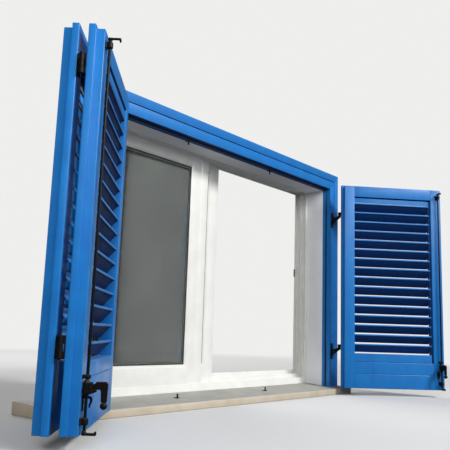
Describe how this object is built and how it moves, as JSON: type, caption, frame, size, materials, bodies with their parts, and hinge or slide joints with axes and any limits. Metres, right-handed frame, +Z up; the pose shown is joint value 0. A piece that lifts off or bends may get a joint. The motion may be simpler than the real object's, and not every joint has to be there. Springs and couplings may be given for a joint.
{
  "type": "window with shutters",
  "caption": "White sliding window in a lined reveal behind a blue shutter frame, with louvred leaves folded back, locking rods with levers, and a stone sill.",
  "frame": {"origin": "middle of the stone sill's underside, below the shutter frame's outer face", "axes": "+X to the right along the wall seen from outside, +Y into the wall towards the room, +Z up"},
  "size_m": [2.5291, 0.7717, 1.2346],
  "materials": {
    "blue_aluminium": "satin powder coat",
    "dark_blue_aluminium": "satin powder coat",
    "white_aluminium": "satin powder coat",
    "white_board": "smooth white",
    "stone": "honed",
    "glass": "clear float glass",
    "black_rubber": "matt",
    "black_steel": "satin black",
    "zinc_steel": "zinc plated"
  },
  "bodies": {
    "frame": {"hinge_pintles": "black_steel", "hook_keepers": "black_steel", "latch_strike": "black_steel", "lining_head": "white_board", "lining_left": "white_board", "lining_right": "white_board", "pintle_screws": "zinc_steel", "shutter_frame_gasket": "black_rubber", "shutter_frame_head": "blue_aluminium", "shutter_frame_jamb_left": "blue_aluminium", "shutter_frame_jamb_right": "blue_aluminium", "sill": "stone", "window_head": "white_aluminium", "window_jamb_left": "white_aluminium", "window_jamb_right": "white_aluminium", "window_track": "white_aluminium"},
    "leaf_a": {"leaf_a_fold_hinges": "black_steel", "leaf_a_free_stile": "blue_aluminium", "leaf_a_hinge_stile": "blue_aluminium", "leaf_a_lever_catch": "black_steel", "leaf_a_planks": "blue_aluminium", "leaf_a_rod_guides": "black_steel", "leaf_a_screws": "zinc_steel", "leaf_a_slat_carrier": "dark_blue_aluminium", "leaf_a_slats": "blue_aluminium", "leaf_a_straps": "black_steel", "leaf_a_top_rail": "blue_aluminium"},
    "leaf_b": {"leaf_b_fold_hinges": "black_steel", "leaf_b_free_stile": "blue_aluminium", "leaf_b_hinge_stile": "blue_aluminium", "leaf_b_planks": "blue_aluminium", "leaf_b_slat_carrier": "dark_blue_aluminium", "leaf_b_slats": "blue_aluminium", "leaf_b_top_rail": "blue_aluminium"},
    "leaf_c": {"leaf_c_free_stile": "blue_aluminium", "leaf_c_hinge_stile": "blue_aluminium", "leaf_c_lever_catch": "black_steel", "leaf_c_planks": "blue_aluminium", "leaf_c_rod_guides": "black_steel", "leaf_c_screws": "zinc_steel", "leaf_c_slat_carrier": "dark_blue_aluminium", "leaf_c_slats": "blue_aluminium", "leaf_c_straps": "black_steel", "leaf_c_top_rail": "blue_aluminium"},
    "rod_a": {"rod_a": "black_steel", "rod_a_hub": "black_steel"},
    "rod_c": {"rod_c": "black_steel", "rod_c_hub": "black_steel"},
    "lever_a": {"rod_a_lever": "black_steel"},
    "lever_c": {"rod_c_lever": "black_steel"},
    "sash_left": {"sash_left_frame": "white_aluminium", "sash_left_gasket": "black_rubber", "sash_left_glass": "glass"},
    "sash_right": {"sash_latch_body": "black_steel", "sash_right_frame": "white_aluminium", "sash_right_gasket": "black_rubber", "sash_right_glass": "glass"},
    "latch": {"sash_latch_thumb": "black_steel"}
  },
  "joints": [
    {"name": "leaf_a_hinge", "type": "hinge", "parent": "frame", "child": "leaf_a", "pos_m": [-0.848, -0.057, 0.63462], "axis": [0, 0, 1], "range_deg": [-8, 138.5]},
    {"name": "leaf_b_fold", "type": "hinge", "parent": "leaf_a", "child": "leaf_b", "pos_m": [-1.26597, -0.45082, 0.63462], "axis": [0, 0, 1], "range_deg": [0, 180]},
    {"name": "leaf_c_hinge", "type": "hinge", "parent": "frame", "child": "leaf_c", "pos_m": [0.848, -0.057, 0.63462], "axis": [0, 0, 1], "range_deg": [-135.5, 44.5]},
    {"name": "rod_a_turn", "type": "hinge", "parent": "leaf_a", "child": "rod_a", "pos_m": [-1.19637, -0.48271, 0.59462], "axis": [0, 0, 1], "range_deg": [-20, 90]},
    {"name": "rod_c_turn", "type": "hinge", "parent": "leaf_c", "child": "rod_c", "pos_m": [1.17362, -0.50036, 0.59462], "axis": [0, 0, 1], "range_deg": [-20, 90]},
    {"name": "lever_a_lift", "type": "hinge", "parent": "rod_a", "child": "lever_a", "pos_m": [-1.19041, -0.48945, 0.15962], "axis": [-0.749, -0.6626, 0], "range_deg": [0, 40]},
    {"name": "lever_c_lift", "type": "hinge", "parent": "rod_c", "child": "lever_c", "pos_m": [1.16731, -0.50678, 0.15962], "axis": [-0.7133, 0.7009, 0], "range_deg": [0, 40]},
    {"name": "sash_left_slide", "type": "slide", "parent": "frame", "child": "sash_left", "axis": [1, 0, 0], "range_m": [0, 0.882]},
    {"name": "sash_right_slide", "type": "slide", "parent": "frame", "child": "sash_right", "axis": [1, 0, 0], "range_m": [0, 0.764]},
    {"name": "latch_slide", "type": "slide", "parent": "sash_right", "child": "latch", "axis": [0, 0, 1], "range_m": [0, 0.013]}
  ]
}
